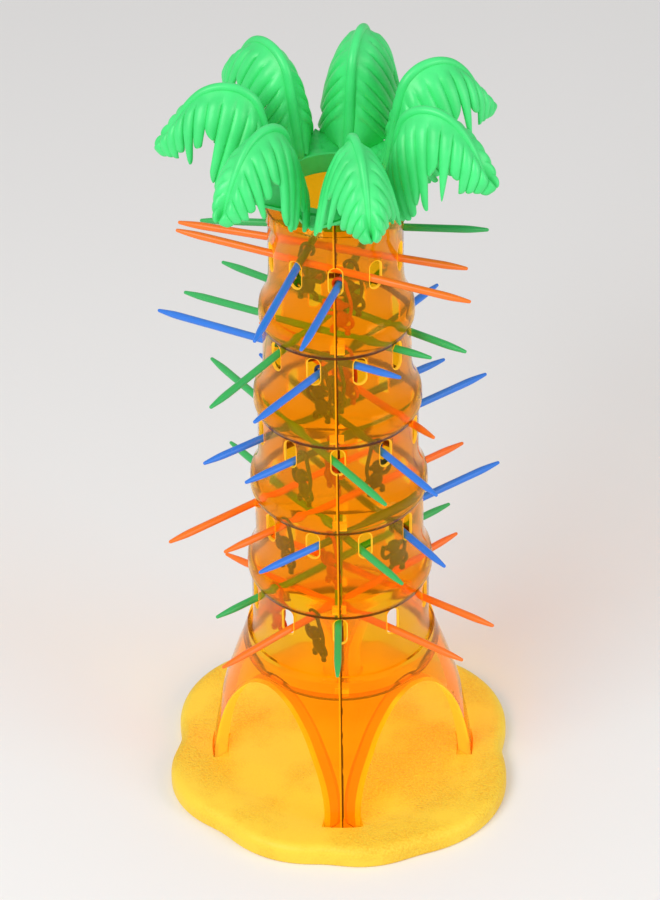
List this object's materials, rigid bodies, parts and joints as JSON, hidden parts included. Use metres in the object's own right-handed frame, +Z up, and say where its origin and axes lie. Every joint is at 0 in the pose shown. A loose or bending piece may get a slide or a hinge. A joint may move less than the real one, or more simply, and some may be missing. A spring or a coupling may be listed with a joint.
{
  "type": "balancing tree game",
  "caption": "Palm tree game: loose sticks cross inside a clear slotted trunk and carry small hook monkeys that fall to the base when sticks are pulled.",
  "frame": {"origin": "centre of the trunk's axis on the underside of the base", "axes": "+Z up, -Y towards the front of the tree, +X to the right of someone facing it"},
  "size_m": [0.1979, 0.2094, 0.4654],
  "materials": {
    "sand": "fine grain",
    "trunk": "clear",
    "leaf": "satin",
    "green_plastic": "satin",
    "blue_plastic": "satin",
    "orange_plastic": "satin",
    "green_figure": "satin",
    "blue_figure": "satin",
    "orange_figure": "satin"
  },
  "bodies": {
    "tree": {"base": "sand", "trunk_half_left": "trunk", "trunk_half_right": "trunk", "crown_collar": "leaf", "frond_1": "leaf", "frond_2": "leaf", "frond_3": "leaf", "frond_4": "leaf", "frond_5": "leaf", "frond_6": "leaf", "frond_7": "leaf"},
    "stick_green_1": {"stick_green_1": "green_plastic"},
    "stick_orange_1": {"stick_orange_1": "orange_plastic"},
    "stick_orange_2": {"stick_orange_2": "orange_plastic"},
    "stick_blue_1": {"stick_blue_1": "blue_plastic"},
    "stick_blue_2": {"stick_blue_2": "blue_plastic"},
    "stick_green_2": {"stick_green_2": "green_plastic"},
    "stick_green_3": {"stick_green_3": "green_plastic"},
    "stick_blue_3": {"stick_blue_3": "blue_plastic"},
    "stick_blue_4": {"stick_blue_4": "blue_plastic"},
    "stick_green_4": {"stick_green_4": "green_plastic"},
    "stick_green_5": {"stick_green_5": "green_plastic"},
    "stick_blue_5": {"stick_blue_5": "blue_plastic"},
    "stick_blue_6": {"stick_blue_6": "blue_plastic"},
    "stick_blue_7": {"stick_blue_7": "blue_plastic"},
    "stick_orange_3": {"stick_orange_3": "orange_plastic"},
    "stick_green_6": {"stick_green_6": "green_plastic"},
    "stick_orange_4": {"stick_orange_4": "orange_plastic"},
    "stick_blue_8": {"stick_blue_8": "blue_plastic"},
    "stick_orange_5": {"stick_orange_5": "orange_plastic"},
    "stick_blue_9": {"stick_blue_9": "blue_plastic"},
    "stick_orange_6": {"stick_orange_6": "orange_plastic"},
    "stick_orange_7": {"stick_orange_7": "orange_plastic"},
    "stick_green_7": {"stick_green_7": "green_plastic"},
    "stick_green_8": {"stick_green_8": "green_plastic"},
    "stick_orange_8": {"stick_orange_8": "orange_plastic"},
    "monkey_green_1": {"monkey_green_1": "green_figure"},
    "monkey_orange_1": {"monkey_orange_1": "orange_figure"},
    "monkey_blue_1": {"monkey_blue_1": "blue_figure"},
    "monkey_blue_2": {"monkey_blue_2": "blue_figure"},
    "monkey_green_2": {"monkey_green_2": "green_figure"},
    "monkey_orange_2": {"monkey_orange_2": "orange_figure"},
    "monkey_orange_3": {"monkey_orange_3": "orange_figure"},
    "monkey_green_3": {"monkey_green_3": "green_figure"},
    "monkey_blue_3": {"monkey_blue_3": "blue_figure"},
    "monkey_blue_4": {"monkey_blue_4": "blue_figure"},
    "monkey_orange_4": {"monkey_orange_4": "orange_figure"},
    "monkey_green_4": {"monkey_green_4": "green_figure"},
    "monkey_orange_5": {"monkey_orange_5": "orange_figure"},
    "monkey_blue_5": {"monkey_blue_5": "blue_figure"}
  },
  "joints": [
    {"name": "stick_green_1_slide", "type": "slide", "parent": "tree", "child": "stick_green_1", "axis": [-0.9415, 0.3027, -0.1478], "range_m": [0, 0.1167]},
    {"name": "stick_orange_1_slide", "type": "slide", "parent": "tree", "child": "stick_orange_1", "axis": [0.9398, -0.3402, 0.0312], "range_m": [0, 0.1344]},
    {"name": "stick_orange_2_slide", "type": "slide", "parent": "tree", "child": "stick_orange_2", "axis": [-0.9475, 0.3083, 0.0845], "range_m": [0, 0.1187]},
    {"name": "stick_blue_1_slide", "type": "slide", "parent": "tree", "child": "stick_blue_1", "axis": [0.2879, 0.9575, -0.0166], "range_m": [0, 0.1506]},
    {"name": "stick_blue_2_slide", "type": "slide", "parent": "tree", "child": "stick_blue_2", "axis": [-0.3089, -0.9511, 0], "range_m": [0, 0.1148]},
    {"name": "stick_green_2_slide", "type": "slide", "parent": "tree", "child": "stick_green_2", "axis": [0.8088, -0.5874, 0.0261], "range_m": [0, 0.1363]},
    {"name": "stick_green_3_slide", "type": "slide", "parent": "tree", "child": "stick_green_3", "axis": [-0.8199, 0.562, -0.1092], "range_m": [0, 0.1093]},
    {"name": "stick_blue_3_slide", "type": "slide", "parent": "tree", "child": "stick_blue_3", "axis": [0.8047, -0.5814, 0.1202], "range_m": [0, 0.1466]},
    {"name": "stick_blue_4_slide", "type": "slide", "parent": "tree", "child": "stick_blue_4", "axis": [-0.6022, -0.7983, 0.0072], "range_m": [0, 0.1219]},
    {"name": "stick_green_4_slide", "type": "slide", "parent": "tree", "child": "stick_green_4", "axis": [0.5932, 0.8048, 0.0215], "range_m": [0, 0.1433]},
    {"name": "stick_green_5_slide", "type": "slide", "parent": "tree", "child": "stick_green_5", "axis": [-0.5859, 0.8099, 0.0271], "range_m": [0, 0.1223]},
    {"name": "stick_blue_5_slide", "type": "slide", "parent": "tree", "child": "stick_blue_5", "axis": [-0.8041, -0.5946, 0.0012], "range_m": [0, 0.1337]},
    {"name": "stick_blue_6_slide", "type": "slide", "parent": "tree", "child": "stick_blue_6", "axis": [0.8042, 0.5943, 0.0127], "range_m": [0, 0.1214]},
    {"name": "stick_blue_7_slide", "type": "slide", "parent": "tree", "child": "stick_blue_7", "axis": [-0.5877, 0.809, 0.0088], "range_m": [0, 0.1419]},
    {"name": "stick_orange_3_slide", "type": "slide", "parent": "tree", "child": "stick_orange_3", "axis": [-0.5875, 0.8053, -0.0792], "range_m": [0, 0.0968]},
    {"name": "stick_green_6_slide", "type": "slide", "parent": "tree", "child": "stick_green_6", "axis": [-0.585, 0.811, 0.0016], "range_m": [0, 0.1304]},
    {"name": "stick_orange_4_slide", "type": "slide", "parent": "tree", "child": "stick_orange_4", "axis": [0.8066, 0.591, 0.0143], "range_m": [0, 0.1325]},
    {"name": "stick_blue_8_slide", "type": "slide", "parent": "tree", "child": "stick_blue_8", "axis": [0.8083, 0.5886, 0.0157], "range_m": [0, 0.1188]},
    {"name": "stick_orange_5_slide", "type": "slide", "parent": "tree", "child": "stick_orange_5", "axis": [-0.8081, -0.5882, -0.0308], "range_m": [0, 0.114]},
    {"name": "stick_blue_9_slide", "type": "slide", "parent": "tree", "child": "stick_blue_9", "axis": [0.5793, -0.8151, -0.0085], "range_m": [0, 0.1375]},
    {"name": "stick_orange_6_slide", "type": "slide", "parent": "tree", "child": "stick_orange_6", "axis": [0.805, -0.5932, -0.0067], "range_m": [0, 0.1251]},
    {"name": "stick_orange_7_slide", "type": "slide", "parent": "tree", "child": "stick_orange_7", "axis": [0.8101, -0.5861, 0.0169], "range_m": [0, 0.1258]},
    {"name": "stick_green_7_slide", "type": "slide", "parent": "tree", "child": "stick_green_7", "axis": [0.0075, 0.9995, 0.0318], "range_m": [0, 0.1481]},
    {"name": "stick_green_8_slide", "type": "slide", "parent": "tree", "child": "stick_green_8", "axis": [0.8009, 0.5982, 0.0276], "range_m": [0, 0.1296]},
    {"name": "stick_orange_8_slide", "type": "slide", "parent": "tree", "child": "stick_orange_8", "axis": [0.7982, 0.5922, 0.1104], "range_m": [0, 0.1485]},
    {"name": "monkey_green_1_swing", "type": "hinge", "parent": "tree", "child": "monkey_green_1", "pos_m": [-0.01504, -0.01124, 0.36557], "axis": [-0.2879, -0.9575, 0.0166], "range_deg": [-28, 32]},
    {"name": "monkey_orange_1_swing", "type": "hinge", "parent": "tree", "child": "monkey_orange_1", "pos_m": [0.00211, -0.02955, 0.3547], "axis": [0.3089, 0.9511, 0], "range_deg": [-6, 32]},
    {"name": "monkey_blue_1_swing", "type": "hinge", "parent": "tree", "child": "monkey_blue_1", "pos_m": [0.00805, -0.01127, 0.3547], "axis": [0.3089, 0.9511, 0], "range_deg": [-32, 32]},
    {"name": "monkey_blue_2_swing", "type": "hinge", "parent": "tree", "child": "monkey_blue_2", "pos_m": [-0.00862, -0.03189, 0.29883], "axis": [0.6022, 0.7983, -0.0072], "range_deg": [-12, 32]},
    {"name": "monkey_green_2_swing", "type": "hinge", "parent": "tree", "child": "monkey_green_2", "pos_m": [-0.00124, -0.0221, 0.29874], "axis": [0.6022, 0.7983, -0.0072], "range_deg": [-32, 32]},
    {"name": "monkey_orange_2_swing", "type": "hinge", "parent": "tree", "child": "monkey_orange_2", "pos_m": [0.00522, -0.01354, 0.29867], "axis": [0.6022, 0.7983, -0.0072], "range_deg": [-32, 32]},
    {"name": "monkey_orange_3_swing", "type": "hinge", "parent": "tree", "child": "monkey_orange_3", "pos_m": [-0.00301, -0.01859, 0.24152], "axis": [-0.8042, -0.5943, -0.0127], "range_deg": [-32, 32]},
    {"name": "monkey_green_3_swing", "type": "hinge", "parent": "tree", "child": "monkey_green_3", "pos_m": [-0.01927, -0.0306, 0.24126], "axis": [0.8042, 0.5943, 0.0127], "range_deg": [-16, 32]},
    {"name": "monkey_blue_3_swing", "type": "hinge", "parent": "tree", "child": "monkey_blue_3", "pos_m": [0.02077, -0.02853, 0.24603], "axis": [0.5877, -0.809, -0.0088], "range_deg": [-32, 32]},
    {"name": "monkey_blue_4_swing", "type": "hinge", "parent": "tree", "child": "monkey_blue_4", "pos_m": [-0.03006, -0.02224, 0.18859], "axis": [0.8066, 0.591, 0.0143], "range_deg": [-32, 32]},
    {"name": "monkey_orange_4_swing", "type": "hinge", "parent": "tree", "child": "monkey_orange_4", "pos_m": [-0.00462, -0.03734, 0.18869], "axis": [0.8083, 0.5886, 0.0157], "range_deg": [-7, 32]},
    {"name": "monkey_green_4_swing", "type": "hinge", "parent": "tree", "child": "monkey_green_4", "pos_m": [0.03151, -0.01897, 0.1845], "axis": [-0.5793, 0.8151, 0.0085], "range_deg": [-21, 32]},
    {"name": "monkey_orange_5_swing", "type": "hinge", "parent": "tree", "child": "monkey_orange_5", "pos_m": [-0.03664, -0.00779, 0.13216], "axis": [0.8009, 0.5982, 0.0276], "range_deg": [-32, 26]},
    {"name": "monkey_blue_5_swing", "type": "hinge", "parent": "tree", "child": "monkey_blue_5", "pos_m": [-0.01495, -0.03061, 0.13019], "axis": [0.7982, 0.5922, 0.1104], "range_deg": [-32, 32]}
  ]
}
